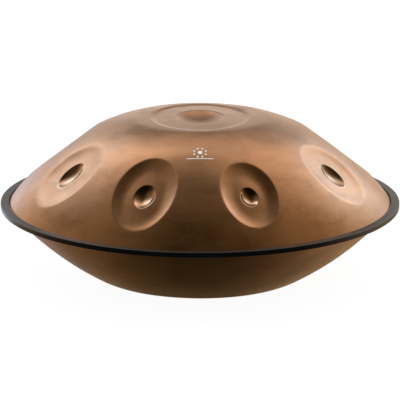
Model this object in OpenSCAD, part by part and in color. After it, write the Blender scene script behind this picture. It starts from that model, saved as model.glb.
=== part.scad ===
// Handpan: two drawn steel shells bonded rim to rim, closed by an edge trim.
// Millimetres. +Z up. The origin is on the resting plane, on the vertical axis
// of the instrument. -Y is the player's side, where the printed mark is.

/* [What to draw] */
// One piece, or the whole instrument

/* [Sheet and rim] */
// Thickness of the steel sheet of both shells
sheet_t = 1.2; // [1.1:0.05:1.3]
// Thickness of the adhesive between the two flanges
glue_t = 0.4; // [0.3:0.05:0.5]
// Outer radius of the flanges that are bonded together
flange_r = 265; // [264.5:0.1:265.5]
// Radius where the sloping flank of a shell ends above its flange
flank_r = 253.8; // [253.4:0.1:254.2]
// Height of the end of the flank from the middle of the rim
flank_rise = 4.4; // [4.2:0.1:4.6]

/* [Upper shell] */
// Slope of the upper flank at the rim, in degrees
dome_slope_0 = 51.6; // [51.2:0.1:52]
// Slope where the flank arc passes to the shoulder arc
dome_slope_1 = 29.5; // [29:0.1:30]
// Slope where the shoulder arc passes to the crown arc
dome_slope_2 = 22.8; // [22.3:0.1:23.3]
// Slope where the crown arc passes to the tight arc around the centre note
dome_slope_3 = 14.5; // [14:0.1:15]
// Slope at the edge of the nearly flat cap that carries the centre note
dome_slope_4 = 3.5; // [3:0.1:4]
// Radius of the long arc of the flank
flank_arc_r = 354.4; // [352:0.2:356]
// Radius of the shoulder arc
shoulder_arc_r = 160; // [156:1:164]
// Radius of the crown arc
crown_arc_r = 255; // [250:1:260]
// Radius of the tight arc around the centre note
collar_r = 70; // [64:1:76]

/* [Lower shell] */
// Slope of the lower flank at the rim, in degrees
bowl_slope_0 = 49.5; // [49:0.1:50]
// Slope of the straight part of the lower flank
bowl_slope_1 = 31.9; // [31:0.1:33]
// Slope where the corner of the bowl passes to its shallow base
bowl_slope_2 = 12.2; // [12:0.1:12.4]
// Radius of the arc of the lower flank
bowl_flank_radius = 404.6; // [402:0.2:408]
// Horizontal length of the straight part of the lower flank
bowl_line = 9.1; // [8:0.1:10]
// Radius of the corner between flank and base
bowl_corner_radius = 48; // [46:1:50]
// Radius of the arc of the shallow base
bowl_base_radius = 466; // [462:1:470]

/* [Port] */
// Radius of the sound port in the lower shell
port_r = 50; // [48:0.5:51]
// Height of the port neck above the resting plane
port_neck_h = 32; // [24:1:40]
// Outer radius of the bend from the base into the neck
port_bend_r = 6; // [5:0.5:7]
// Outer radius of the flat ring that the instrument rests on
rest_ring_r = 62; // [61:0.5:63]

/* [Tone fields] */
// Directions of the four fields nearest the player, from -Y towards +X, in degrees
front_turn = [-60.7, -20.7, 18.3, 62.8]; // [-65:0.1:65]
// Directions of the four fields at the back, from -Y towards +X, in degrees
back_turn = [-104.5, -154, 155, 105]; // [-156:0.5:156]
// Distance of the front fields from the axis
front_reach = [192.9, 198.5, 198.4, 194.6]; // [190:0.1:200]
// Distance of the back fields from the axis
back_reach = [187.5, 187, 187, 187.5]; // [184:0.1:192]
// Half widths of the front fields, around the shell
front_half_w = [47.3, 38.3, 32.7, 43]; // [31:0.1:49]
// Half widths of the back fields, around the shell
back_half_w = [51, 50, 49, 51]; // [42:0.1:53]
// Half lengths of the front fields, up the slope
front_half_l = [61.6, 62.9, 52, 57.1]; // [50:0.1:66]
// Half lengths of the back fields, up the slope
back_half_l = [61, 61, 60, 61]; // [56:0.1:61]
// Half widths of the dimples in the front fields
front_dimple = [17, 14.1, 11.5, 15.9]; // [10:0.1:20]
// Half widths of the dimples in the back fields
back_dimple = [18.5, 20.5, 19.5, 17.5]; // [14:0.1:22]
// Slope of the floors of the fields, in degrees
field_slope = 38.5; // [38.2:0.1:38.8]
// Length of the dimples over their width
dimple_stretch = 1.3; // [1.2:0.05:1.4]
// Depth of the dimples
dimple_depth = 5.5; // [5.5:0.5:7.5]
// Width of the sloping border inside each field
field_border = 8; // [7.5:0.5:8.5]
// How far the middle of a field rises above the edge of its floor
field_rise = 1.5; // [1.3:0.1:1.7]

/* [Centre note] */
// Half widths of the centre note, across and along
ding_half = [67.3, 84.4]; // [64:0.1:86]
// Half width of the dimple in the centre note
ding_dimple = 32.5; // [30:0.5:35]
// Depth of the dimple in the centre note
ding_depth = 9; // [8:0.5:10]
// Depth of the floor of the centre note under the cap
ding_sink = 1.6; // [1.4:0.1:1.8]

/* [Edge trim] */
// Outer radius of the trim
trim_r = 268; // [267.8:0.1:269]
// Overall height of the trim
trim_h = 6.9; // [6.7:0.1:7.5]
// Radius of the inner lips of the trim
trim_lip_r = 257; // [256.9:0.1:257.6]
// Thickness of the steel clips inside the trim
clip_t = 0.4; // [0.35:0.05:0.45]
// Number of steel clips around the trim
clip_count = 120; // [60:1:160]
// Gap between the two ends of the trim, at the back
trim_gap = 0.6; // [0.4:0.1:1.2]

/* [Printed mark] */
// Distance of the printed mark from the axis
mark_reach = 138; // [137.8:0.1:138.2]
// Radius of the ring of dots
mark_ring = 8; // [7.5:0.1:8]
// Thickness of the print
mark_t = 0.12; // [0.1:0.01:0.15]

/* [Hidden] */
$fn = 96;
arc_fn = 1440;   // segments of the large arcs
dimple_fn = 180; // segments of the dimple balls

bronze = [0.56, 0.36, 0.22];
half_glue = glue_t / 2;
flange_top = half_glue + sheet_t;
flank_end = [flank_r, flank_rise];

// ---- Shell profiles: [radius, height from the middle of the rim] ----

// Outward normal where the surface slopes by s degrees
function norm_at(s) = [sin(s), cos(s)];
// Point moved into the shell by off
function inset(point, s, off) = point - off * norm_at(s);
// End of an arc of radius r that starts at p with slope s0 and ends with slope s1
function arc_end(p, r, s0, s1) = p - r * (norm_at(s0) - norm_at(s1));
// Knot i of a chain of tangent arcs that starts at the end of the flank
function knot(radii, slopes, i) = i == 0
    ? flank_end
    : arc_end(knot(radii, slopes, i - 1), radii[i - 1], slopes[i - 1], slopes[i]);

// Upper dome, from the rim to the axis; the cap arc meets the axis level
dome_slopes = [dome_slope_0, dome_slope_1, dome_slope_2, dome_slope_3, dome_slope_4, 0];
pressed_radii = [flank_arc_r, shoulder_arc_r, crown_arc_r, collar_r];
cap_r = knot(pressed_radii, dome_slopes, 4)[0] / sin(dome_slope_4);
dome_radii = concat(pressed_radii, [cap_r]);
dome_knots = [for (i = [0 : 5]) knot(dome_radii, dome_slopes, i)];

// Lower bowl, from the rim to the resting ring, heights measured downwards
line_start = arc_end(flank_end, bowl_flank_radius, bowl_slope_0, bowl_slope_1);
line_end = line_start + bowl_line * [-1, tan(bowl_slope_1)];
base_start = arc_end(line_end, bowl_corner_radius, bowl_slope_1, bowl_slope_2);
base_slope = asin(sin(bowl_slope_2) - (base_start[0] - rest_ring_r) / bowl_base_radius);
base_overrun = 0.5; // degrees that the base arc runs on, inside the resting ring

// The middle of the rim stands this high above the resting plane
rim_z = arc_end(base_start, bowl_base_radius, bowl_slope_2, base_slope)[1];

foot_bend_h = 0.6;         // height of the bend between flank and flange
past_rim = 3;              // how far a profile runs past the middle of the rim
profile_size = [300, 200]; // clear of every profile

// Bend from the flange up into a flank of slope s
function foot_points(s, off) =
    let (
        bend_top = flank_end + (flank_rise - flange_top - foot_bend_h) * [1 / tan(s), -1],
        bend_r = foot_bend_h / (1 - cos(s)),
        centre = bend_top + bend_r * norm_at(s)
    )
    [for (i = [0 : 4]) inset(centre, s * i / 4, bend_r + off)];

// Pie slice under an arc that starts at p, between two slopes
module slice(p, r, s0, s1, off) {
    centre = p - r * norm_at(s0);
    reach = 1.3 * r; // the triangle has to contain the arc
    intersection() {
        translate(centre) circle(r = r - off, $fn = arc_fn);
        polygon([centre, centre + reach * norm_at(s0), centre + reach * norm_at(s1)]);
    }
}

// Area inside the outer face of a shell, shrunk by off: a polygon through the
// knots, with the slices under its arcs as children
module shell_area(inner_r, foot_slope, knots, off) intersection() {
    union() {
        polygon(concat(
            [[inner_r, -past_rim], [flange_r, -past_rim], [flange_r, flange_top - off]],
            foot_points(foot_slope, off),
            knots));
        children();
    }
    translate([inner_r, -past_rim]) square(profile_size);
}

module dome_area(off)
    shell_area(0, dome_slope_0,
               [for (i = [0 : 5]) inset(dome_knots[i], dome_slopes[i], off)], off)
        for (i = [0 : 4])
            slice(dome_knots[i], dome_radii[i], dome_slopes[i], dome_slopes[i + 1], off);

// Heights measured downwards
module bowl_area(off)
    shell_area(rest_ring_r, bowl_slope_0,
               [inset(flank_end, bowl_slope_0, off),
                inset(line_start, bowl_slope_1, off),
                inset(line_end, bowl_slope_1, off),
                inset(base_start, bowl_slope_2, off),
                [rest_ring_r, rim_z - off]], off) {
        slice(flank_end, bowl_flank_radius, bowl_slope_0, bowl_slope_1, off);
        slice(line_end, bowl_corner_radius, bowl_slope_1, bowl_slope_2, off);
        slice(base_start, bowl_base_radius, bowl_slope_2, base_slope - base_overrun, off);
    }

// ---- Notes: z = 0 is the middle of the floor, every face grows outwards by off ----

field_fall = 3.2;  // drop of the border of a field over its width
field_ref_r = 198; // distance from the axis where field_ref_z holds
field_ref_z = 53.8; // height of a field floor above the middle of the rim
ding_border = 7;
ding_fall = 2;
ding_rise = 1.8;
hollow_top = 7;    // top of the cutting body of a hollow
dimple_top = 5;    // top of the cutting body of a dimple
wall_growth = 1.02; // downward shift of the sloping border per unit of off

// Half plane right of the axis, up to the height top
module right_of_axis(top) translate([0, -50]) square([200, 50 + top]);

// Shallow hollow of a note. half_w and half_l are its half widths, run and fall
// the width and drop of its border, rise the crown of its floor.
module note_hollow(half_w, half_l, run, fall, rise, off) {
    flat = half_w - run;
    crown_r = flat * flat / (2 * rise);
    bottom = -(rise + 1) - off;
    function wall_x(z) = flat + (z + rise + wall_growth * off) * run / fall;
    scale([1, half_l / half_w, 1]) rotate_extrude() intersection() {
        difference() {
            polygon([
                [0, bottom],
                [wall_x(bottom), bottom],
                [wall_x(hollow_top), hollow_top],
                [0, hollow_top]]);
            translate([0, -crown_r - off]) circle(r = crown_r, $fn = arc_fn);
        }
        right_of_axis(50);
    }
}

// Ball that presses the dimple into the middle of a note
module note_dimple(half_w, stretch, depth, off) {
    ball_r = (half_w * half_w + depth * depth) / (2 * depth);
    scale([1, stretch, 1]) rotate_extrude() intersection() {
        translate([0, ball_r - depth]) circle(r = ball_r + off, $fn = dimple_fn);
        right_of_axis(dimple_top);
    }
}

module tone_field(turn, reach, half_w, half_l, dimple, off)
    rotate([0, 0, turn])
        translate([0, -reach, rim_z + field_ref_z + (field_ref_r - reach) * tan(field_slope)])
            rotate([field_slope, 0, 0]) {
                note_hollow(half_w, half_l, field_border, field_fall, field_rise, off);
                note_dimple(dimple, dimple_stretch, dimple_depth, off);
            }

module centre_note(off)
    translate([0, 0, rim_z + dome_knots[5][1] - ding_sink]) {
        note_hollow(ding_half[0], ding_half[1], ding_border, ding_fall, ding_rise, off);
        note_dimple(ding_dimple, ding_half[1] / ding_half[0], ding_depth, off);
    }

// ---- Shells ----

// Solid dome with its notes pressed in, its outer face moved inwards by off
module pressed_dome(off) difference() {
    translate([0, 0, rim_z]) rotate([0, 0, -90]) rotate_extrude() dome_area(off);
    for (i = [0 : 3])
        tone_field(front_turn[i], front_reach[i], front_half_w[i], front_half_l[i],
                   front_dimple[i], off);
    for (i = [0 : 3])
        tone_field(back_turn[i], back_reach[i], back_half_w[i], back_half_l[i],
                   back_dimple[i], off);
    centre_note(off);
}

// Upper half: a drawn dome with eight tone fields and the centre note pressed in
module upper_shell() color(bronze) difference() {
    pressed_dome(0);
    pressed_dome(sheet_t);
}

bend_centre_r = port_r + port_bend_r;
ring_overlap = 0.01; // joins the resting ring to the bowl

// Lower half: a drawn bowl with the port neck rolled inwards at its base
module lower_shell() color(bronze) union() {
    translate([0, 0, rim_z]) rotate_extrude() mirror([0, 1]) difference() {
        bowl_area(0);
        bowl_area(sheet_t);
    }
    rotate_extrude() {
        // Resting ring
        translate([bend_centre_r, 0])
            square([rest_ring_r + ring_overlap - bend_centre_r, sheet_t]);
        // Bend
        intersection() {
            difference() {
                translate([bend_centre_r, port_bend_r]) circle(r = port_bend_r);
                translate([bend_centre_r, port_bend_r]) circle(r = port_bend_r - sheet_t);
            }
            square([bend_centre_r, port_bend_r]);
        }
        // Neck
        translate([port_r, port_bend_r]) square([sheet_t, port_neck_h - port_bend_r]);
    }
}

glue_inner_r = 257.5;
glue_inset = 0.5; // from the edge of the flanges

// Adhesive that bonds the two flanges
module seam_adhesive() color([0.75, 0.72, 0.62])
    translate([0, 0, rim_z - half_glue])
        rotate_extrude()
            translate([glue_inner_r, 0])
                square([flange_r - glue_inset - glue_inner_r, glue_t]);

// ---- Edge trim and its clips ----

slot_half_h = flange_top + 0.05; // the slot clears the flanges
slot_r = flange_r + 0.4;
trim_corner_r = 1.5;
lip_corner_r = 0.8;
clip_inner_r = trim_lip_r + 1.5;
clip_arm_z = (slot_half_h + trim_h / 2) / 2; // middle of the upper arm of a clip
clip_web_r = (slot_r + trim_r) / 2;          // middle of the upright web of a clip
clip_clearance = 0.03;
clip_fill = 0.72; // part of its pitch that a clip takes up
clip_turn = 360 / clip_count;
gap_turn = 360 * trim_gap / (2 * PI * trim_r);

// Points on a circle, from angle a0 to a1 in n steps
function arc_points(centre, r, a0, a1, n) =
    [for (i = [0 : n]) let (a = a0 + (a1 - a0) * i / n) centre + r * [cos(a), sin(a)]];

// Channel section of one clip, grown by g
module clip_area(g) {
    half_h = clip_arm_z + clip_t / 2 + g;
    inner_half_h = half_h - clip_t - 2 * g;
    start_r = clip_inner_r - g;
    difference() {
        translate([start_r, -half_h])
            square([clip_web_r + clip_t / 2 + g - start_r, 2 * half_h]);
        translate([trim_lip_r, -inner_half_h])
            square([clip_web_r - clip_t / 2 - g - trim_lip_r, 2 * inner_half_h]);
    }
}

// Channel section of the trim, with room for the clips
module trim_area() {
    outer = [trim_r - trim_corner_r, trim_h / 2 - trim_corner_r];
    lip = [trim_lip_r + lip_corner_r, trim_h / 2 - lip_corner_r];
    difference() {
        polygon(concat(
            arc_points(outer, trim_corner_r, 0, 90, 5),
            arc_points(lip, lip_corner_r, 90, 180, 4),
            [[trim_lip_r, slot_half_h], [slot_r, slot_half_h],
             [slot_r, -slot_half_h], [trim_lip_r, -slot_half_h]],
            arc_points([lip[0], -lip[1]], lip_corner_r, 180, 270, 4),
            arc_points([outer[0], -outer[1]], trim_corner_r, 270, 360, 5)));
        clip_area(clip_clearance);
    }
}

// Flexible channel pushed over the bonded flanges, with its two ends meeting at the back
module edge_trim() color([0.09, 0.09, 0.1])
    translate([0, 0, rim_z]) rotate([0, 0, 90 + gap_turn / 2])
        rotate_extrude(angle = 360 - gap_turn) trim_area();

// Steel clips inside the trim that grip the flanges
module trim_grip_clips() color([0.62, 0.63, 0.65])
    translate([0, 0, rim_z])
        for (i = [0 : clip_count - 1])
            rotate([0, 0, 90 + (i + 0.5 - clip_fill / 2) * clip_turn])
                rotate_extrude(angle = clip_fill * clip_turn) clip_area(0);

// ---- Printed mark ----

mark_dot_r = 2.8;
ring_dot_r = 1.2;
ring_dots = 8;
mark_line = [34, 0.9];
mark_line_drop = 3;  // from the ring radius to the player's edge of the line
mark_cut = [80, 40]; // start above the middle of the rim, and height, of the outline

module mark_outline() {
    circle(r = mark_dot_r);
    for (i = [0 : ring_dots - 1])
        rotate((i + 0.5) * 360 / ring_dots) translate([mark_ring, 0]) circle(r = ring_dot_r);
    translate([-mark_line[0] / 2, -mark_ring - mark_line_drop]) square(mark_line);
}

// A dot with a ring of eight dots around it and a short line on the player's side
module printed_mark() color([0.93, 0.92, 0.9]) difference() {
    intersection() {
        translate([0, 0, rim_z]) rotate_extrude() dome_area(-mark_t);
        translate([0, -mark_reach, rim_z + mark_cut[0]])
            linear_extrude(mark_cut[1]) mark_outline();
    }
    translate([0, 0, rim_z]) rotate_extrude() dome_area(0);
}

upper_shell();
lower_shell();
seam_adhesive();
edge_trim();
trim_grip_clips();
printed_mark();
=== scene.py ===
# A handpan: a steel dome with eight tone fields around a centre note, a lower shell with a
# port, and a rubber trim around the seam. It stands on z = 0, centred on the Z axis, and
# faces -Y.
import math
import bpy
import numpy as np
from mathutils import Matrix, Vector
from mathutils.geometry import delaunay_2d_cdt


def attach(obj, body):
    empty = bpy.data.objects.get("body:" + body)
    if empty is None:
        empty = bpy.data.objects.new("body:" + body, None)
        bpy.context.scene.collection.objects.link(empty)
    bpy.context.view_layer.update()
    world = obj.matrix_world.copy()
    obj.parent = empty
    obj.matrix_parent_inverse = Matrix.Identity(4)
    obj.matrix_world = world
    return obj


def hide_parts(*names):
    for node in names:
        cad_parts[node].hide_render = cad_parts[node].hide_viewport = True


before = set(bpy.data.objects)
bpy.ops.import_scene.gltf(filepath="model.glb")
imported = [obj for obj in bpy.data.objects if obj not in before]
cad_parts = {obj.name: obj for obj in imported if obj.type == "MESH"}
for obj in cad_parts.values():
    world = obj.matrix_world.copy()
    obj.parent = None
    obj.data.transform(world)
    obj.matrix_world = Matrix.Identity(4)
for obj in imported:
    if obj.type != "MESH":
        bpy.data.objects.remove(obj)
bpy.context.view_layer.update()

# ---------------------------------------------------------------- sizes
# Lengths are millimetres, slopes and turns are degrees. Heights are from the middle of the
# rim, upwards for the upper shell and downwards for the lower one.
MM = 0.001
SHEET = 1.2
HALF_GLUE = 0.2
FLANGE_R = 265.0
FLANGE_TOP = HALF_GLUE + SHEET
FLANGE_CUT = 0.25  # cut corner of the flange's outer edge
FOOT_DROP = 0.6  # height of the bend between flank and flange
FLANK = np.array([253.8, 4.4])  # radius and height where both flanks end

# The dome is a chain of tangent arcs from the flank to the axis. The slopes are at the ends
# of the arcs. The radius of the last arc follows from its slope.
DOME_SLOPES = [51.6, 29.5, 22.8, 14.5, 3.5, 0.0]
DOME_RADII = [354.4, 160.0, 255.0, 70.0]

# The bowl goes from the flank by an arc, a straight cone and two arcs to the resting ring
BOWL_SLOPES = (49.5, 31.9, 12.2)
BOWL_RADII = (404.6, 48.0, 466.0)
CONE_RUN = 9.1
REST_R = 62.0
PORT_R, NECK_H, BEND_R = 50.0, 32.0, 6.0
NECK_CUT = 0.3

TRIM_R, TRIM_H, LIP_R = 268.0, 6.9, 257.0
TRIM_GAP = 0.6  # open joint at +Y
LIP_ROUND, LOW_ROUND = 0.8, 1.5
SHOULDER = (2.4, 1.4)  # width and height of the rounded upper outer edge
PIP = 0.10  # depth of the grain

# Tone fields: the plane of each one leans outwards by FIELD_SLOPE and passes through
# FIELD_Z at the radius FIELD_R
FIELD_SLOPE = math.radians(38.5)
FIELD_R, FIELD_Z = 198, 53.8
FIELD_SHAPE = dict(border=8.0, border_rise=3.2, crown=1.5, stretch=1.3, dimple_depth=5.5)
# Softness of the inner and outer edge of the border: the two front fields, and all others
FRONT_TURN = 40
FRONT_SOFT, OTHER_SOFT = (4.0, 0.8), (9.0, 1.8)
# turn from -Y towards +X, radius, half width, half length, dimple half width
FIELDS = [
    (-60.7, 192.9, 47.3, 61.6, 17.0),
    (-20.7, 198.5, 38.3, 62.9, 14.1),
    (18.3, 198.4, 32.7, 52.0, 11.5),
    (62.8, 194.6, 43.0, 57.1, 15.9),
    (-104.5, 187.5, 51.0, 61.0, 18.5),
    (-154.0, 187.0, 50.0, 61.0, 20.5),
    (155.0, 187.0, 49.0, 60.0, 19.5),
    (105.0, 187.5, 51.0, 61.0, 17.5),
]
CENTRE_WIDTH, CENTRE_LENGTH = 67.3, 84.4  # half sizes of the centre note
CENTRE_SINK = 1.6
DIMPLE_SOFT, HARD = 0.8, 0.01

RIM_COUNT = 480
GRID_STEP = 4.2
FULL_RINGS = 3  # outermost grid rings that keep the whole rim count
RIM_GAPS = [0.0, 1.2, 2.6, 4.6, 7.4]  # outermost grid rings, by distance from the rim


# ---------------------------------------------------------------- profiles
def normal_at(slope):
    slope = np.radians(slope)
    return np.array([np.sin(slope), np.cos(slope)])


def arc_end(start, radius, slope, end_slope):
    """End of a profile arc that leaves start at one slope and arrives at another."""
    return start - radius * (normal_at(slope) - normal_at(end_slope))


class Profile:
    """The dome's section: place and slope by distance from the axis along the sheet."""

    def __init__(self):
        knots = [FLANK]
        for i, radius in enumerate(DOME_RADII):
            knots.append(arc_end(knots[-1], radius, DOME_SLOPES[i], DOME_SLOPES[i + 1]))
        cap = knots[-1][0] / math.sin(math.radians(DOME_SLOPES[4]))
        knots.append(arc_end(knots[-1], cap, DOME_SLOPES[4], 0.0))
        self.knots = knots
        self.radii = DOME_RADII + [cap]
        lengths = [
            radius * math.radians(DOME_SLOPES[i] - DOME_SLOPES[i + 1])
            for i, radius in enumerate(self.radii)
        ]
        self.total = sum(lengths)
        starts = [self.total]
        for length in lengths:
            starts.append(starts[-1] - length)
        starts[-1] = 0.0
        self.starts = np.array(starts)
        self.top = knots[-1][1]

    def at(self, dist):
        """Radius, height and slope in radians at each distance from the axis."""
        dist = np.asarray(dist, float)
        r = np.zeros_like(dist)
        z = np.zeros_like(dist)
        slope = np.zeros_like(dist)
        for i, radius in enumerate(self.radii):
            high, low = self.starts[i], self.starts[i + 1]
            here = dist >= low
            if i:
                here &= dist <= high + 1e-9
            first = math.radians(DOME_SLOPES[i])
            angle = first - (high - dist[here]) / radius
            centre = self.knots[i] - radius * np.array([math.sin(first), math.cos(first)])
            r[here] = centre[0] + radius * np.sin(angle)
            z[here] = centre[1] + radius * np.cos(angle)
            slope[here] = angle
        return r, z, slope


dome = Profile()
cone_start = arc_end(FLANK, BOWL_RADII[0], *BOWL_SLOPES[:2])
cone_end = cone_start + CONE_RUN * np.array([-1, math.tan(math.radians(BOWL_SLOPES[1]))])
base_start = arc_end(cone_end, BOWL_RADII[1], *BOWL_SLOPES[1:])
BASE_SLOPE = math.degrees(
    math.asin(math.sin(math.radians(BOWL_SLOPES[2])) - (base_start[0] - REST_R) / BOWL_RADII[2])
)
RIM_Z = float(arc_end(base_start, BOWL_RADII[2], BOWL_SLOPES[2], BASE_SLOPE)[1])


def foot_points(slope, inset):
    """The bend from the end of a flank to the flange, inset from the outer face."""
    slope = math.radians(slope)
    start_z = FLANGE_TOP + FOOT_DROP
    start = FLANK + (FLANK[1] - start_z) * np.array([1 / math.tan(slope), -1])
    radius = FOOT_DROP / (1 - math.cos(slope))
    centre = start + radius * np.array([math.sin(slope), math.cos(slope)])
    return [
        centre - (radius + inset) * np.array([math.sin(a), math.cos(a)])
        for a in np.linspace(slope, 0, 5)
    ]


def bowl_points(inset):
    """The bowl from the end of its flank to the resting ring, inset from the outer face."""
    out = []
    ends = (*BOWL_SLOPES, BASE_SLOPE)
    for i, (start, count) in enumerate(((FLANK, 34), (cone_end, 14), (base_start, 20))):
        radius = BOWL_RADII[i]
        centre = start - radius * normal_at(ends[i])
        slopes = np.linspace(ends[i], ends[i + 1], count)
        out += [centre + (radius - inset) * normal_at(slope) for slope in slopes]
    return out


def arc(centre, radius, first, last, count):
    return [
        (centre[0] + radius * math.cos(a), centre[1] + radius * math.sin(a))
        for a in np.linspace(math.radians(first), math.radians(last), count)
    ]


# ---------------------------------------------------------------- notes
def wobble(points, scale, seed):
    """Smooth seeded noise from a few sine waves, about -1 to 1."""
    rng = np.random.RandomState(seed)
    out = np.zeros(points.shape[:-1])
    for _ in range(14):
        way = rng.normal(size=3)
        way /= np.linalg.norm(way)
        wave = (points @ way) * 2 * math.pi / (scale * rng.uniform(0.7, 1.6))
        out += np.sin(wave + rng.uniform(0, 6.28))
    return out / 5.3


def smax(a, b, soft):
    h = np.clip(0.5 + 0.5 * (a - b) / soft, 0, 1)
    return b + (a - b) * h + soft * h * (1 - h)


def smin(a, b, soft):
    return -smax(-a, -b, soft)


class Note:
    """A tone field or the centre note, with its own plane: x is its width, y its length.

    A slightly crowned floor with a round dimple lies inside a border that rises to the dome.
    """

    def __init__(self, centre, axes, half_width, half_length, dimple, soft,
                 border, border_rise, crown, stretch, dimple_depth):
        self.centre = np.array(centre, float)
        self.x_axis, self.y_axis, self.normal = (np.array(v, float) for v in axes)
        self.half_width, self.ratio = half_width, half_length / half_width
        self.border, self.border_rise, self.crown = border, border_rise, crown
        self.dimple, self.stretch, self.dimple_depth = dimple, stretch, dimple_depth
        self.soft_in, self.soft_out = soft
        self.flat = half_width - border
        self.floor_ball = self.flat**2 / (2 * crown)
        self.ball = (dimple * dimple + dimple_depth * dimple_depth) / (2 * dimple_depth)
        self.reach = half_length * 1.3

    def surface(self, x, y, soft):
        """Height of the pressed surface over the middle of the floor."""
        out = np.hypot(x, y / self.ratio)
        dimple_out = np.hypot(x, y / self.stretch)
        cap = -(out**2) / (2 * self.floor_ball)
        wall = (out - self.flat) * self.border_rise / self.border - self.crown
        pan = smax(wall, cap, self.soft_in if soft else HARD)
        # Near its equator the dimple's ball changes to a steep cone
        lip = self.ball * 0.98
        drop = np.sqrt(np.maximum(self.ball**2 - dimple_out**2, self.ball**2 - lip**2))
        bowl = (self.ball - self.dimple_depth) - drop + 5 * np.maximum(dimple_out - lip, 0)
        return smin(pan, bowl, DIMPLE_SOFT if soft else HARD)

    def place(self, x, y):
        """Points of the surface with hard edges."""
        z = self.surface(x, y, False)
        return (self.centre + x[:, None] * self.x_axis + y[:, None] * self.y_axis
                + z[:, None] * self.normal)

    def depth(self, points, normals):
        """How far each point moves against its normal to lie on the pressed surface."""
        out = np.zeros(len(points))
        facing = np.maximum(normals @ self.normal, 0.3)
        for _ in range(16):
            d = points - out[:, None] * normals - self.centre
            height = self.surface(d @ self.x_axis, d @ self.y_axis, True)
            step = (d @ self.normal - height) / facing
            out += np.clip(step, -6, 6) * 0.8
        return out


def make_field(turn, radius, half_width, half_length, dimple):
    angle = math.radians(turn)
    out = np.array([math.sin(angle), -math.cos(angle), 0])
    z = FIELD_Z + (FIELD_R - radius) * math.tan(FIELD_SLOPE)
    lean_sin, lean_cos = math.sin(FIELD_SLOPE), math.cos(FIELD_SLOPE)
    axes = (
        (math.cos(angle), math.sin(angle), 0),
        -out * lean_cos + np.array([0, 0, lean_sin]),
        out * lean_sin + np.array([0, 0, lean_cos]),
    )
    soft = OTHER_SOFT if abs(turn) > FRONT_TURN else FRONT_SOFT
    centre = out * radius + np.array([0, 0, z])
    return Note(centre, axes, half_width, half_length, dimple, soft, **FIELD_SHAPE)


fields = [make_field(*field) for field in FIELDS]
centre_note = Note(
    (0, 0, dome.top - CENTRE_SINK), ((1, 0, 0), (0, 1, 0), (0, 0, 1)),
    CENTRE_WIDTH, CENTRE_LENGTH, dimple=32.5, soft=(0.9, 0.7), border=7.0, border_rise=2.0,
    crown=1.8, stretch=CENTRE_LENGTH / CENTRE_WIDTH, dimple_depth=9.0,
)
notes = fields + [centre_note]


# ---------------------------------------------------------------- the dome's surface
# The chart is the dome flattened to a plane: a point keeps its direction from the axis, and
# its radius is the distance along the sheet.
def plain_dome(chart):
    """Points and outward normals of the dome without notes."""
    dist = np.hypot(chart[:, 0], chart[:, 1])
    r, z, slope = dome.at(dist)
    away = chart / np.maximum(dist, 1e-9)[:, None]
    away = np.where(dist[:, None] > 1e-9, away, np.array([1.0, 0.0]))
    normals = np.c_[away * np.sin(slope)[:, None], np.cos(slope)]
    return np.c_[away * r[:, None], z], normals


def dome_points(chart, inset=0.0):
    """The dome with its notes and a slight unevenness that fades out at the rim."""
    points, normals = plain_dome(chart)
    depth = np.zeros(len(points))
    for note in notes:
        near = np.linalg.norm(points - note.centre, axis=1) < note.reach
        if near.any():
            own = note.depth(points[near], normals[near])
            depth[near] = np.maximum(depth[near], smax(own, 0, note.soft_out))
    fade = np.clip((dome.total - np.hypot(chart[:, 0], chart[:, 1])) / 25, 0, 1)
    rough = 0.18 * wobble(points, 95, 3) + 0.08 * wobble(points, 38, 5)
    depth = depth + fade * (rough + 0.12)
    return points - normals * (depth + inset)[:, None]


def chart_of(points):
    """The chart point of the dome nearest to each point."""
    dist = np.linspace(0, dome.total, 6000)
    r, z, _ = dome.at(dist)
    radius = np.hypot(points[:, 0], points[:, 1])
    best = np.zeros(len(points))
    for i in range(0, len(points), 400):
        part = slice(i, i + 400)
        gap = (radius[part, None] - r) ** 2 + (points[part, 2][:, None] - z) ** 2
        best[part] = dist[gap.argmin(1)]
    return points[:, :2] / np.maximum(radius, 1e-9)[:, None] * best[:, None]


def note_rings(note, fine):
    """Chart rings that follow the dimple, floor and border of a note, outermost last."""
    count = int((116 if note.half_width < 60 else 150) * fine)
    phi = np.linspace(0, 2 * math.pi, count, endpoint=False)
    # Find the outline, where the border meets the dome
    low, high = np.full(count, note.flat), np.full(count, note.half_width * 1.5)
    for _ in range(26):
        half = (low + high) / 2
        points = note.place(half * np.cos(phi), half * note.ratio * np.sin(phi))
        base, normals = plain_dome(chart_of(points))
        under = ((base - points) * normals).sum(1) > 0
        low, high = np.where(under, half, low), np.where(under, high, half)
    outline = (low + high) / 2
    one = np.ones(count)
    first = note.dimple * 1.14
    floor = note.flat - 2.2
    # Half widths and half lengths of every ring: dimple, floor, border
    rings = [
        (note.dimple * f * one, note.dimple * f * note.stretch * one)
        for f in (0.16, 0.32, 0.46, 0.6, 0.72, 0.82, 0.9, 0.955, 0.985, 1.015, 1.06, 1.14)
    ]
    length = first * note.stretch
    for t in np.linspace(0, 1, 9 if fine > 0.7 else 5)[1:]:
        width = first + (floor - first) * t
        rings.append((width * one, (length + (floor * note.ratio - length) * t) * one))
    for t in (0.18, 0.36, 0.54, 0.72, 0.86, 0.94, 0.98, 1.02, 1.06, 1.14, 1.3):
        half = floor + (outline - floor) * t
        rings.append((half, half * note.ratio))
    out = []
    wrap = np.r_[phi, 2 * math.pi]
    for i, sizes in enumerate(rings):
        turns = phi + 0.5 * (i % 2) * 2 * math.pi / count
        width, length = (np.interp(turns, wrap, np.r_[v, v[0]]) for v in sizes)
        points = note.place(width * np.cos(turns), length * np.sin(turns))
        # The small inner rings need fewer points
        step = 4 if i < 4 else 2 if i < 7 else 1
        out.append(chart_of(points)[::step])
    return out


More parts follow.
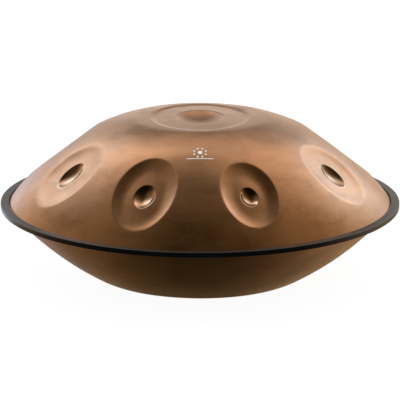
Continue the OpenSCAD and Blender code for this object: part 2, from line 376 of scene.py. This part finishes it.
def grow(loop, by):
    centre = loop.mean(0)
    away = loop - centre
    size = np.linalg.norm(away, axis=1, keepdims=True)
    return centre + away * (size + by) / size


def inside(points, loop):
    x, y = points[:, 0][:, None], points[:, 1][:, None]
    x0, y0 = loop[:, 0], loop[:, 1]
    x1, y1 = np.roll(x0, -1), np.roll(y0, -1)
    hit = ((y0 > y) != (y1 > y)) & (x < (x1 - x0) * (y - y0) / (y1 - y0 + 1e-12) + x0)
    return hit.sum(1) % 2 == 1


def dome_mesh(fine):
    """Chart points and triangles of the whole dome, and the numbers of the rim's points."""
    parts, loops = [], []
    for note in notes:
        rings = note_rings(note, fine)
        parts += [chart_of(note.centre[None]), *rings]
        loops.append(grow(rings[-1], 1.0))
    rim_start = sum(len(part) for part in parts)
    # Rings around the axis fill the dome between the notes
    step = GRID_STEP / fine
    dists = [dome.total - gap for gap in RIM_GAPS]
    dists += list(np.arange(dome.total - RIM_GAPS[-1] - step, 2, -step))
    for i, dist in enumerate(dists):
        full = i < FULL_RINGS
        radius = float(dome.at(np.array([dist]))[0][0])
        count = RIM_COUNT if full else int(max(8, min(RIM_COUNT, 2 * math.pi * radius / step)))
        turns = (np.arange(count) + 0.5 * (i % 2) * (not full)) * 2 * math.pi / count
        ring = np.c_[dist * np.cos(turns), dist * np.sin(turns)]
        if not full:
            keep = np.ones(len(ring), bool)
            for loop in loops:
                keep &= ~inside(ring, loop)
            ring = ring[keep]
        parts.append(ring)
    chart = np.concatenate(parts)
    result = delaunay_2d_cdt([Vector(v) for v in chart], [], [], 0, 1e-5, False)
    verts = np.array([tuple(v) for v in result[0]])
    faces = [f for f in result[2] if len(f) == 3]
    if len(verts) != len(chart) or np.abs(verts - chart).max() > 1e-3:
        raise RuntimeError("the triangulation moved its points")
    return verts, faces, list(range(rim_start, rim_start + RIM_COUNT))


def polish_and_painted_shade(points):
    """Two masks: 1 inside the dimples of the fields, and 1 of painted shade on their +Y sides.
    """
    worked, painted_shade = np.zeros(len(points)), np.zeros(len(points))
    for note in fields:
        d = points - note.centre
        x = d @ note.x_axis / note.dimple
        y = d @ note.y_axis / note.stretch / note.dimple
        here = np.clip((1.08 - np.hypot(x, y)) / 0.1, 0, 1)
        worked = np.maximum(worked, here)
        x_part, y_part = note.x_axis[1], note.y_axis[1]
        far = (x * x_part + y * y_part) / math.hypot(x_part, y_part)
        painted_shade = np.maximum(painted_shade, here * np.clip((far + 0.15) / 0.75, 0, 1))
    return worked, painted_shade


# ---------------------------------------------------------------- mesh helpers
def area_normals(verts, faces):
    """Vertex normals weighted by area, so that a thin triangle can't tilt them."""
    tris = np.array([(f[0], f[i], f[i + 1]) for f in faces for i in range(1, len(f) - 1)])
    a, b, c = (verts[tris[:, i]] for i in range(3))
    cross = np.cross(b - a, c - a)
    out = np.zeros_like(verts)
    for i in range(3):
        np.add.at(out, tris[:, i], cross)
    return out / np.maximum(np.linalg.norm(out, axis=1, keepdims=True), 1e-30)


def link_object(name, data):
    ob = bpy.data.objects.new(name, data)
    bpy.context.scene.collection.objects.link(ob)
    return ob


def smooth_object(name, verts, faces):
    """A smooth object from vertices in millimetres."""
    verts = verts * MM
    mesh = bpy.data.meshes.new(name)
    mesh.from_pydata([tuple(v) for v in verts], [], [tuple(int(i) for i in f) for f in faces])
    mesh.validate()
    mesh.update()
    mesh.polygons.foreach_set("use_smooth", [True] * len(mesh.polygons))
    mesh.normals_split_custom_set_from_vertices(area_normals(verts, faces))
    return link_object(name, mesh)


def ring_points(r, z, turns):
    return np.c_[r * np.cos(turns), r * np.sin(turns), np.full(len(turns), z)]


def band(row, other, closed=True):
    """Quads between two rows of vertex numbers."""
    count = len(row)
    pairs = [(i, (i + 1) % count) for i in range(count if closed else count - 1)]
    return [(row[i], row[j], other[j], other[i]) for i, j in pairs]


# ---------------------------------------------------------------- pieces
def build_upper():
    def join(last, now):
        return [(d, a, b, c) for a, b, c, d in band(now, last)]

    chart, tris, last = dome_mesh(1.0)
    verts = [dome_points(chart)]
    faces = [tuple(f) for f in tris]
    base = len(chart)
    turns = np.arctan2(chart[last, 1], chart[last, 0])
    # Down the outer face, round the flange and back up the inner face
    section = foot_points(DOME_SLOPES[0], 0.0)
    section += [
        (FLANGE_R - FLANGE_CUT, FLANGE_TOP),
        (FLANGE_R, FLANGE_TOP - FLANGE_CUT),
        (FLANGE_R, HALF_GLUE),
    ]
    section += foot_points(DOME_SLOPES[0], SHEET)[::-1]
    for r, z in section:
        verts.append(ring_points(r, z, turns))
        now = list(range(base, base + RIM_COUNT))
        base += RIM_COUNT
        faces += join(last, now)
        last = now
    # The inner face has a coarser mesh
    chart, tris, loop = dome_mesh(0.55)
    verts.append(dome_points(chart, SHEET))
    faces += [(base + a, base + c, base + b) for a, b, c in tris]
    faces += join(last, [base + i for i in loop])
    verts = np.concatenate(verts)
    masks = polish_and_painted_shade(verts)
    verts[:, 2] += RIM_Z
    ob = smooth_object("upper_shell_skin", verts, faces)
    # The second mask marks where painted shade darkens the dimples' +Y walls
    for name, mask in zip(("worked", "painted_shade"), masks):
        layer = ob.data.attributes.new(name, "FLOAT", "POINT")
        layer.data.foreach_set("value", mask.astype(np.float32))
    return ob


def build_lower():
    def from_rim(points):
        return [(r, RIM_Z - z) for r, z in points]

    count = 400
    turns = np.linspace(0, 2 * math.pi, count, endpoint=False)
    bend = (PORT_R + BEND_R, BEND_R)
    neck_in = PORT_R + SHEET
    # Outer face from the flank to the port and up the neck, then back along the inner face
    section = from_rim(bowl_points(0))
    section += [(REST_R - 0.6, 0.0), (PORT_R + BEND_R, 0.0)]
    section += arc(bend, BEND_R, 270, 180, 9)[1:]
    section += [(PORT_R, z) for z in np.linspace(BEND_R, NECK_H - NECK_CUT, 6)[1:]]
    section += [(PORT_R + NECK_CUT, NECK_H), (neck_in - NECK_CUT, NECK_H)]
    section += [(neck_in, NECK_H - NECK_CUT)]
    section += [(neck_in, z) for z in np.linspace(NECK_H - 4, BEND_R, 4)]
    section += arc(bend, BEND_R - SHEET, 180, 270, 7)[1:]
    section += [(REST_R - 0.3, SHEET)]
    section += from_rim(bowl_points(SHEET)[::-1][::2])
    section += from_rim(foot_points(BOWL_SLOPES[0], SHEET))
    section += from_rim([
        (FLANGE_R, HALF_GLUE),
        (FLANGE_R, FLANGE_TOP - FLANGE_CUT),
        (FLANGE_R - FLANGE_CUT, FLANGE_TOP),
    ])
    section += from_rim(foot_points(BOWL_SLOPES[0], 0.0)[::-1])
    verts = np.concatenate([ring_points(r, z, turns) for r, z in section])
    # Slight unevenness of the sheet, fading out at the rim, the resting ring and the neck
    r = np.hypot(verts[:, 0], verts[:, 1])
    fade = np.clip((248 - r) / 20, 0, 1) * np.clip((r - 70) / 25, 0, 1)
    push = fade * (0.20 * wobble(verts, 110, 11) + 0.08 * wobble(verts, 42, 12) + 0.25)
    verts[:, :2] -= verts[:, :2] / r[:, None] * push[:, None] * 0.6
    verts[:, 2] += push * 0.8
    rows = np.arange(len(verts)).reshape(-1, count)
    faces = []
    for row, following in zip(rows, np.roll(rows, -1, axis=0)):
        faces += band(following, row)
    return smooth_object("lower_shell_skin", verts, faces)


def build_trim():
    """A C-shaped channel over the flanges, open towards the axis and split at +Y."""
    count = 1440
    gap = TRIM_GAP / TRIM_R
    turns = math.pi / 2 + gap / 2 + np.linspace(0, 1, count) * (2 * math.pi - gap)
    top = TRIM_H / 2
    slot_z, slot_r = FLANGE_TOP + 0.05, FLANGE_R + 0.4
    lip_x, lip_z = LIP_R + LIP_ROUND, top - LIP_ROUND
    face_start, face_end = LIP_R + 1.4, TRIM_R - SHOULDER[0]
    side_end = top - 1.9
    # From the upper lip over the top, down the outside, back below, then the slot
    section = [(LIP_R, slot_z), (LIP_R, top - 1.0)]
    section += arc((lip_x, lip_z), LIP_ROUND, 180, 90, 5)
    section += [(x, top) for x in np.linspace(face_start, face_end, 9)]
    section += [
        (face_end + SHOULDER[0] * math.cos(a), top - SHOULDER[1] + SHOULDER[1] * math.sin(a))
        for a in np.radians([76, 62, 48, 36, 24, 12, 0])
    ]
    section += [(TRIM_R, z) for z in np.linspace(side_end, -side_end, 5)]
    section += arc((TRIM_R - LOW_ROUND, -top + LOW_ROUND), LOW_ROUND, 0, -90, 7)
    section += [(x, -top) for x in np.linspace(TRIM_R - 1.9, face_start, 9)]
    section += arc((lip_x, -lip_z), LIP_ROUND, 270, 180, 5)
    section += [(LIP_R, -top + 1.0), (LIP_R, -slot_z), (slot_r, -slot_z), (slot_r, slot_z)]
    verts = []
    for j, (r, z) in enumerate(section):
        # Staggered pips of the grain on the top, the bottom and the outer side
        pips = PIP * ((np.arange(count) + j) % 2)
        ring_r, ring_z = np.full(count, r), np.full(count, z)
        if abs(z) >= top - 1e-6 and LIP_R + 1 < r < TRIM_R - 1.6:
            ring_z -= np.sign(z) * pips
        elif r >= TRIM_R - 1e-6:
            ring_r -= pips
        verts.append(np.c_[ring_r * np.cos(turns), ring_r * np.sin(turns), ring_z + RIM_Z])
    verts = np.concatenate(verts)
    rows = np.arange(len(verts)).reshape(-1, count)
    faces = []
    for row, following in zip(rows, np.roll(rows, -1, axis=0)):
        faces += band(row, following, closed=False)
    faces += [tuple(rows[:, 0]), tuple(rows[:, -1])[::-1]]
    return smooth_object("edge_trim_skin", verts, faces)


def disc_plan(x, y, radius):
    """Points, triangles and edge of a flat disc."""
    count = 28
    plan = [(x, y)]
    for part in (0.5, 1.0):
        plan += arc((x, y), radius * part, 0, 360, count + 1)[:-1]
    tris = []
    for i in range(count):
        a, b = 1 + i, 1 + (i + 1) % count
        tris += [(0, a, b), (a, a + count, b + count), (a, b + count, b)]
    return plan, tris, [1 + count + i for i in range(count)]


def line_plan():
    """Points, triangles and edge of the thin line."""
    cols = 44
    plan = [(x, y) for y in (-11.0, -10.55, -10.1) for x in np.linspace(-17, 17, cols)]
    tris = []
    for row in (0, 1):
        for i in range(cols - 1):
            a = row * cols + i
            tris += [(a, a + 1, a + cols + 1), (a, a + cols + 1, a + cols)]
    edge = list(range(cols)) + [cols * 2 - 1]
    edge += list(range(cols * 3 - 1, cols * 2 - 1, -1)) + [cols]
    return plan, tris, edge


def build_mark():
    """Printed mark: a dot, eight dots around it and a line on its -Y side, on the dome."""
    mark_y, ring_r = -138.0, 8
    raised, sunk = 0.12, 0.02

    def lay(plan, inset):
        flat = np.c_[plan[:, 0], plan[:, 1] + mark_y]
        r = np.hypot(flat[:, 0], flat[:, 1])
        dist = np.linspace(0, dome.total, 8000)
        chart = flat / r[:, None] * np.interp(r, dome.at(dist)[0], dist)[:, None]
        return dome_points(chart, inset)

    shapes = [disc_plan(0, 0, 2.8)]
    for i in range(8):
        a = math.radians(22.5 + 45 * i)
        shapes.append(disc_plan(ring_r * math.cos(a), ring_r * math.sin(a), 1.2))
    shapes.append(line_plan())
    verts, faces = [], []
    base = 0
    for plan, tris, edge in shapes:
        plan = np.array(plan)
        verts += [lay(plan, sunk), lay(plan, -raised)]
        top = base + len(plan)
        for tri in tris:
            faces.append(tuple(top + i for i in tri))
            faces.append(tuple(base + i for i in tri[::-1]))
        faces += band([base + i for i in edge], [top + i for i in edge])
        base = top + len(plan)
    verts = np.concatenate(verts)
    verts[:, 2] += RIM_Z
    return smooth_object("printed_mark_skin", verts, faces)


# object, the CAD piece it replaces, slot
skins = [
    (build_upper(), "upper_shell", "bronze_steel"),
    (build_lower(), "lower_shell", "bronze_steel"),
    (build_trim(), "edge_trim", "trim_rubber"),
    (build_mark(), "printed_mark", "white_print"),
]
for ob, node, slot in skins:
    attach(ob, "root")
    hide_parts(node)


# ---------------------------------------------------------------- materials
class Nodes:
    """Adds and wires shader nodes."""

    def __init__(self, tree):
        self.tree = tree
        tree.nodes.clear()

    def add(self, kind, **props):
        node = self.tree.nodes.new(kind)
        for key, value in props.items():
            setattr(node, key, value)
        return node

    def put(self, socket, value):
        if isinstance(value, bpy.types.NodeSocket):
            self.tree.links.new(value, socket)
        else:
            socket.default_value = value

    def math(self, operation, a, b=0.0):
        node = self.add("ShaderNodeMath", operation=operation)
        for socket, value in zip(node.inputs, (a, b, 0.0)):
            self.put(socket, value)
        return node.outputs[0]

    def vec(self, operation, a, b, out=0):
        node = self.add("ShaderNodeVectorMath", operation=operation)
        self.put(node.inputs[0], a)
        self.put(node.inputs[1], b)
        return node.outputs[out]

    def noise(self, at, scale, detail=4.0, rough=0.5, distort=0.0):
        node = self.add("ShaderNodeTexNoise")
        self.put(node.inputs["Vector"], at)
        node.inputs["Scale"].default_value = scale
        node.inputs["Detail"].default_value = detail
        node.inputs["Roughness"].default_value = rough
        node.inputs["Distortion"].default_value = distort
        return node.outputs["Fac"]

    def ramp(self, fac, stops):
        """Colour ramp through (position, colour) stops."""
        node = self.add("ShaderNodeValToRGB")
        self.put(node.inputs[0], fac)
        items = node.color_ramp.elements
        while len(items) < len(stops):
            items.new(0.5)
        for item, (position, colour) in zip(items, stops):
            item.position = position
            item.color = (*colour, 1)
        return node.outputs[0]

    def mix(self, fac, a, b, mode="MIX"):
        node = self.add("ShaderNodeMix", data_type="RGBA", blend_type=mode)
        self.put(node.inputs["Factor"], fac)
        for name, value in (("A", a), ("B", b)):
            linked = isinstance(value, bpy.types.NodeSocket)
            self.put(node.inputs[name], value if linked else (*value, 1))
        return node.outputs["Result"]

    def span(self, value, source, target):
        """Maps the range source to the range target."""
        node = self.add("ShaderNodeMapRange")
        for socket, item in zip(node.inputs, (value, *source, *target)):
            self.put(socket, item)
        return node.outputs[0]

    def bump(self, height, strength, distance, normal=None):
        node = self.add("ShaderNodeBump")
        self.put(node.inputs["Height"], height)
        node.inputs["Strength"].default_value = strength
        node.inputs["Distance"].default_value = distance
        if normal is not None:
            self.put(node.inputs["Normal"], normal)
        return node.outputs[0]

    def around(self, where, per_radian, per_metre):
        """Coordinates that follow the circle of the instrument: turn, radius, height."""
        part = self.add("ShaderNodeSeparateXYZ")
        self.put(part.inputs[0], where)
        x, y, z = part.outputs
        turn = self.math("ARCTAN2", y, x)
        squares = self.math("ADD", self.math("MULTIPLY", x, x), self.math("MULTIPLY", y, y))
        radius = self.math("SQRT", squares)
        join = self.add("ShaderNodeCombineXYZ")
        pairs = ((turn, per_radian), (radius, per_metre), (z, per_metre))
        for socket, (value, scale) in zip(join.inputs, pairs):
            self.put(socket, self.math("MULTIPLY", value, scale))
        return join.outputs[0]


def new_material(name):
    mat = bpy.data.materials.new(name)
    mat.use_nodes = True
    return mat, Nodes(mat.node_tree)


def start(name):
    """A material with its nodes, object coordinates and the inputs of its surface."""
    mat, nodes = new_material(name)
    where = nodes.add("ShaderNodeTexCoord").outputs["Object"]
    shade = nodes.add("ShaderNodeBsdfPrincipled")
    out = nodes.add("ShaderNodeOutputMaterial")
    nodes.put(out.inputs["Surface"], shade.outputs[0])
    return mat, nodes, where, shade.inputs


BRONZE_LOW = (0.49, 0.31, 0.195)
BRONZE_MID = (0.56, 0.365, 0.24)
BRONZE_HIGH = (0.63, 0.43, 0.295)
WHITE = (1.0, 1.0, 1.0)
# Ramps that multiply the bronze, each driven by its own noise
BLOT_TINT = [(0.28, (0.88, 0.86, 0.84)), (0.5, WHITE), (0.75, (1.07, 1.06, 1.04))]
SMOKE_TINT = [(0.30, (0.86, 0.85, 0.83)), (0.5, WHITE), (0.72, (1.08, 1.06, 1.05))]
GRAIN_TINT = [(0.25, (0.90, 0.90, 0.90)), (0.75, (1.08, 1.08, 1.08))]
DIMPLE_TONE, DIMPLE_MIX, DIMPLE_GLOSS = (0.92, 0.80, 0.68), 0.4, 0.15
# Painted shade: a near-black mixed into the +Y walls of the dimples, standing in for the shade
# on them
PAINTED_SHADE_TONE, PAINTED_SHADE_MIX = (0.03, 0.02, 0.012), 0.82


def bronze_material(name, shift):
    """Heat-tinted satin steel: soft brown clouds, smoke streaks and a faint grain, with painted
    shade on the +Y walls of the dimples.
    """
    mat, nodes, where, shade = start(name)
    at = nodes.vec("ADD", where, (shift, shift * 0.7, 0))
    clouds = nodes.noise(at, scale=9.0, detail=6.0, rough=0.55, distort=0.6)
    blots = nodes.noise(at, scale=30.0, rough=0.55)
    flat = nodes.vec("MULTIPLY", at, (1.0, 1.0, 3.2))
    smoke = nodes.noise(flat, scale=22.0, detail=5.0, rough=0.6, distort=0.4)
    circle = nodes.around(where, per_radian=42.0, per_metre=900.0)
    grain = nodes.noise(circle, scale=1.0, detail=3.0, rough=0.6)
    weave = nodes.noise(at, scale=520.0, detail=2.0)
    tone = nodes.ramp(clouds, [(0.30, BRONZE_LOW), (0.52, BRONZE_MID), (0.72, BRONZE_HIGH)])
    for fac, stops in ((blots, BLOT_TINT), (smoke, SMOKE_TINT), (grain, GRAIN_TINT)):
        tone = nodes.mix(1.0, tone, nodes.ramp(fac, stops), "MULTIPLY")
    # Overall tint, neutral as it stands
    tone = nodes.mix(1.0, tone, WHITE, "MULTIPLY")
    # The dimples are lighter and shine more, and their +Y sides are darkened with painted
    # shade, colour standing in for the shade on those walls
    worked = nodes.add("ShaderNodeAttribute", attribute_name="worked").outputs["Fac"]
    tone = nodes.mix(nodes.math("MULTIPLY", worked, DIMPLE_MIX), tone, DIMPLE_TONE)
    painted_shade = nodes.add("ShaderNodeAttribute", attribute_name="painted_shade").outputs["Fac"]
    tone = nodes.mix(nodes.math("MULTIPLY", painted_shade, PAINTED_SHADE_MIX), tone, PAINTED_SHADE_TONE)
    nodes.put(shade["Base Color"], tone)
    shade["Metallic"].default_value = 1.0
    blot_rough = nodes.span(blots, (0.3, 0.7), (0.26, 0.34))
    grain_rough = nodes.span(grain, (0.2, 0.8), (-0.02, 0.03))
    rough = nodes.math("ADD", blot_rough, grain_rough)
    gloss = nodes.math("MULTIPLY", worked, DIMPLE_GLOSS)
    nodes.put(shade["Roughness"], nodes.math("SUBTRACT", rough, gloss))
    fine = nodes.bump(grain, strength=0.10, distance=0.0002)
    fine = nodes.bump(weave, strength=0.10, distance=0.0002, normal=fine)
    nodes.put(shade["Normal"], fine)
    return mat


def rubber_material():
    mat, nodes, where, shade = start("trim_rubber")
    grid = nodes.around(where, per_radian=300.0, per_metre=1100.0)
    cells = nodes.add("ShaderNodeTexVoronoi", feature="F1")
    nodes.put(cells.inputs["Vector"], grid)
    cells.inputs["Scale"].default_value = 1.0
    specks = nodes.noise(where, scale=900.0, rough=0.6)
    blacks = [(0.3, (0.0010, 0.0010, 0.0012)), (0.7, (0.004, 0.004, 0.0045))]
    nodes.put(shade["Base Color"], nodes.ramp(specks, blacks))
    # The upward face has a sheen, the outer face stays matt
    tilt = nodes.add("ShaderNodeSeparateXYZ")
    nodes.put(tilt.inputs[0], nodes.add("ShaderNodeNewGeometry").outputs["Normal"])
    sheen = nodes.span(tilt.outputs[2], (0.15, 0.85), (0.12, 0.95))
    nodes.put(shade["Specular IOR Level"], sheen)
    shade["Specular Tint"].default_value = (0.62, 0.82, 1.0, 1)
    nodes.put(shade["Roughness"], nodes.span(specks, (0.3, 0.7), (0.24, 0.40)))
    bump = nodes.bump(cells.outputs["Distance"], strength=0.22, distance=0.0003)
    nodes.put(shade["Normal"], bump)
    return mat


def print_material():
    mat, nodes, where, shade = start("white_print")
    specks = nodes.noise(where, scale=1600.0, detail=3.0)
    whites = [(0.3, (0.80, 0.78, 0.74)), (0.6, (0.93, 0.92, 0.90))]
    nodes.put(shade["Base Color"], nodes.ramp(specks, whites))
    shade["Roughness"].default_value = 0.7
    return mat


def adhesive_material():
    mat, nodes, where, shade = start("adhesive")
    clouds = nodes.noise(where, scale=120.0, detail=5.0)
    tones = [(0.3, (0.44, 0.40, 0.29)), (0.7, (0.60, 0.56, 0.44))]
    nodes.put(shade["Base Color"], nodes.ramp(clouds, tones))
    specks = nodes.noise(where, scale=700.0, detail=3.0)
    nodes.put(shade["Roughness"], nodes.span(specks, (0.3, 0.7), (0.45, 0.65)))
    return mat


def clip_material():
    mat, nodes, where, shade = start("clip_steel")
    circle = nodes.around(where, per_radian=900.0, per_metre=120.0)
    streak = nodes.noise(circle, scale=1.0, detail=3.0)
    greys = [(0.3, (0.42, 0.43, 0.45)), (0.7, (0.60, 0.61, 0.63))]
    nodes.put(shade["Base Color"], nodes.ramp(streak, greys))
    shade["Metallic"].default_value = 1.0
    nodes.put(shade["Roughness"], nodes.span(streak, (0.3, 0.7), (0.25, 0.42)))
    return mat


def dress(ob, mat):
    ob.data.materials.clear()
    ob.data.materials.append(mat)


materials = {
    "upper_shell": bronze_material("bronze_upper", shift=0.0),
    "lower_shell": bronze_material("bronze_lower", shift=3.7),
    "edge_trim": rubber_material(),
    "printed_mark": print_material(),
    "seam_adhesive": adhesive_material(),
    "trim_grip_clips": clip_material(),
}
for ob, node, _ in skins:
    dress(ob, materials[node])
for node, mat in materials.items():
    dress(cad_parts[node], mat)


# ---------------------------------------------------------------- floor, light and camera
def floor_material():
    mat, nodes = new_material("pale_floor")
    matt = nodes.add("ShaderNodeBsdfDiffuse")
    matt.inputs["Color"].default_value = (0.9, 0.9, 0.9, 1)
    glow = nodes.add("ShaderNodeEmission")
    glow.inputs["Color"].default_value = (1, 1, 1, 1)
    glow.inputs["Strength"].default_value = 1.1
    glow_share = 0.86
    blend = nodes.add("ShaderNodeMixShader")
    for socket, value in zip(blend.inputs, (glow_share, matt.outputs[0], glow.outputs[0])):
        nodes.put(socket, value)
    # Seen from below the floor is clear, so that the underside can be looked at
    under = nodes.add("ShaderNodeMixShader")
    nodes.put(under.inputs[0], nodes.add("ShaderNodeNewGeometry").outputs["Backfacing"])
    nodes.put(under.inputs[1], blend.outputs[0])
    nodes.put(under.inputs[2], nodes.add("ShaderNodeBsdfTransparent").outputs[0])
    out = nodes.add("ShaderNodeOutputMaterial")
    nodes.put(out.inputs["Surface"], under.outputs[0])
    return mat


def build_floor():
    half, z = 9.0, -0.0004  # metres
    corners = [(-half, -half, z), (half, -half, z), (half, half, z), (-half, half, z)]
    mesh = bpy.data.meshes.new("studio_floor")
    mesh.from_pydata(corners, [], [(0, 1, 2, 3)])
    floor = link_object("studio_floor", mesh)
    dress(floor, floor_material())
    # The metal mirrors the dim world below the horizon instead of the white floor
    floor.visible_glossy = False
    floor.visible_diffuse = False


# Soft lights of the world: turn from -Y towards +X, height angle, narrowness, and colour as
# mirrored by the metal
SOFTBOXES = [
    (-142, 38, 55.8, (0.870, 0.589, 0.424)),
    (144, 54, 22.7, (0.572, 0.281, 0.150)),
    (-147, 55, 36.0, (0.802, 0.387, 0.189)),
    (-150, -11, 37.0, (1.133, 0.900, 0.800)),
    (-86, 50, 14.3, (0.134, 0.060, 0.020)),
    (165, -8, 10.8, (0.386, 0.177, 0.068)),
    (-150, 21, 52.0, (0.781, 0.490, 0.320)),
    (135, 33, 59.9, (0.786, 0.547, 0.388)),
    (147, 19, 47.1, (0.751, 0.544, 0.423)),
    (110, 44, 6.4, (0.187, 0.073, 0.020)),
    (181, 9, 33.8, (0.408, 0.265, 0.182)),
    (110, -16, 9.3, (1.428, 0.626, 0.226)),
    (-116, -11, 7.6, (0.912, 0.368, 0.114)),
    (-184, 52, 40.7, (0.196, 0.112, 0.065)),
    (152, -3, 19.3, (0.041, 0.031, 0.026)),
]
DIM_ROOM = (0.0125, 0.0059, 0.0015)  # mirrored colour where no light shines
DIFFUSE_WORLD, SEEN_WORLD = (0.95, 0.95, 0.95), (1.0, 1.0, 1.0)


def off_metal(colour):
    """The light whose reflection in the bronze has this colour."""
    return tuple(value / metal for value, metal in zip(colour, BRONZE_MID))


def build_world():
    world = bpy.data.worlds.new("studio")
    bpy.context.scene.world = world
    world.use_nodes = True
    nodes = Nodes(world.node_tree)
    way = nodes.add("ShaderNodeTexCoord").outputs["Generated"]
    total = None
    for turn, height, narrow, colour in SOFTBOXES:
        a, h = math.radians(turn), math.radians(height)
        centre = (math.sin(a) * math.cos(h), -math.cos(a) * math.cos(h), math.sin(h))
        face = nodes.vec("DOT_PRODUCT", way, centre, "Value")
        falloff = nodes.math("MULTIPLY", nodes.math("SUBTRACT", face, 1.0), narrow)
        power = nodes.math("EXPONENT", falloff)
        light = nodes.add("ShaderNodeVectorMath", operation="SCALE")
        nodes.put(light.inputs[0], off_metal(colour))
        nodes.put(light.inputs["Scale"], power)
        lit = light.outputs[0]
        total = lit if total is None else nodes.vec("ADD", total, lit)
    total = nodes.vec("ADD", total, off_metal(DIM_ROOM))
    ray = nodes.add("ShaderNodeLightPath")
    ambient = nodes.mix(ray.outputs["Is Diffuse Ray"], total, DIFFUSE_WORLD)
    ambient = nodes.mix(ray.outputs["Is Camera Ray"], ambient, SEEN_WORLD)
    back = nodes.add("ShaderNodeBackground")
    nodes.put(back.inputs["Color"], ambient)
    back.inputs["Strength"].default_value = 1.0
    out = nodes.add("ShaderNodeOutputWorld")
    nodes.put(out.inputs["Surface"], back.outputs[0])


def build_camera():
    """A long lens in front of the rim's middle and above it, aimed at it."""
    lens = bpy.data.cameras.new("camera")
    camera = link_object("camera", lens)
    rim = Vector((0, 0, RIM_Z * MM))
    camera.location = rim + Vector((0, -2.9009, 0.7646))
    camera.rotation_euler = (rim - camera.location).to_track_quat("-Z", "Y").to_euler()
    lens.sensor_width = 36
    lens.lens = 200.2
    lens.clip_end = 60
    bpy.context.scene.camera = camera


build_floor()
build_world()
build_camera()
bpy.context.scene.view_settings.view_transform = "Standard"
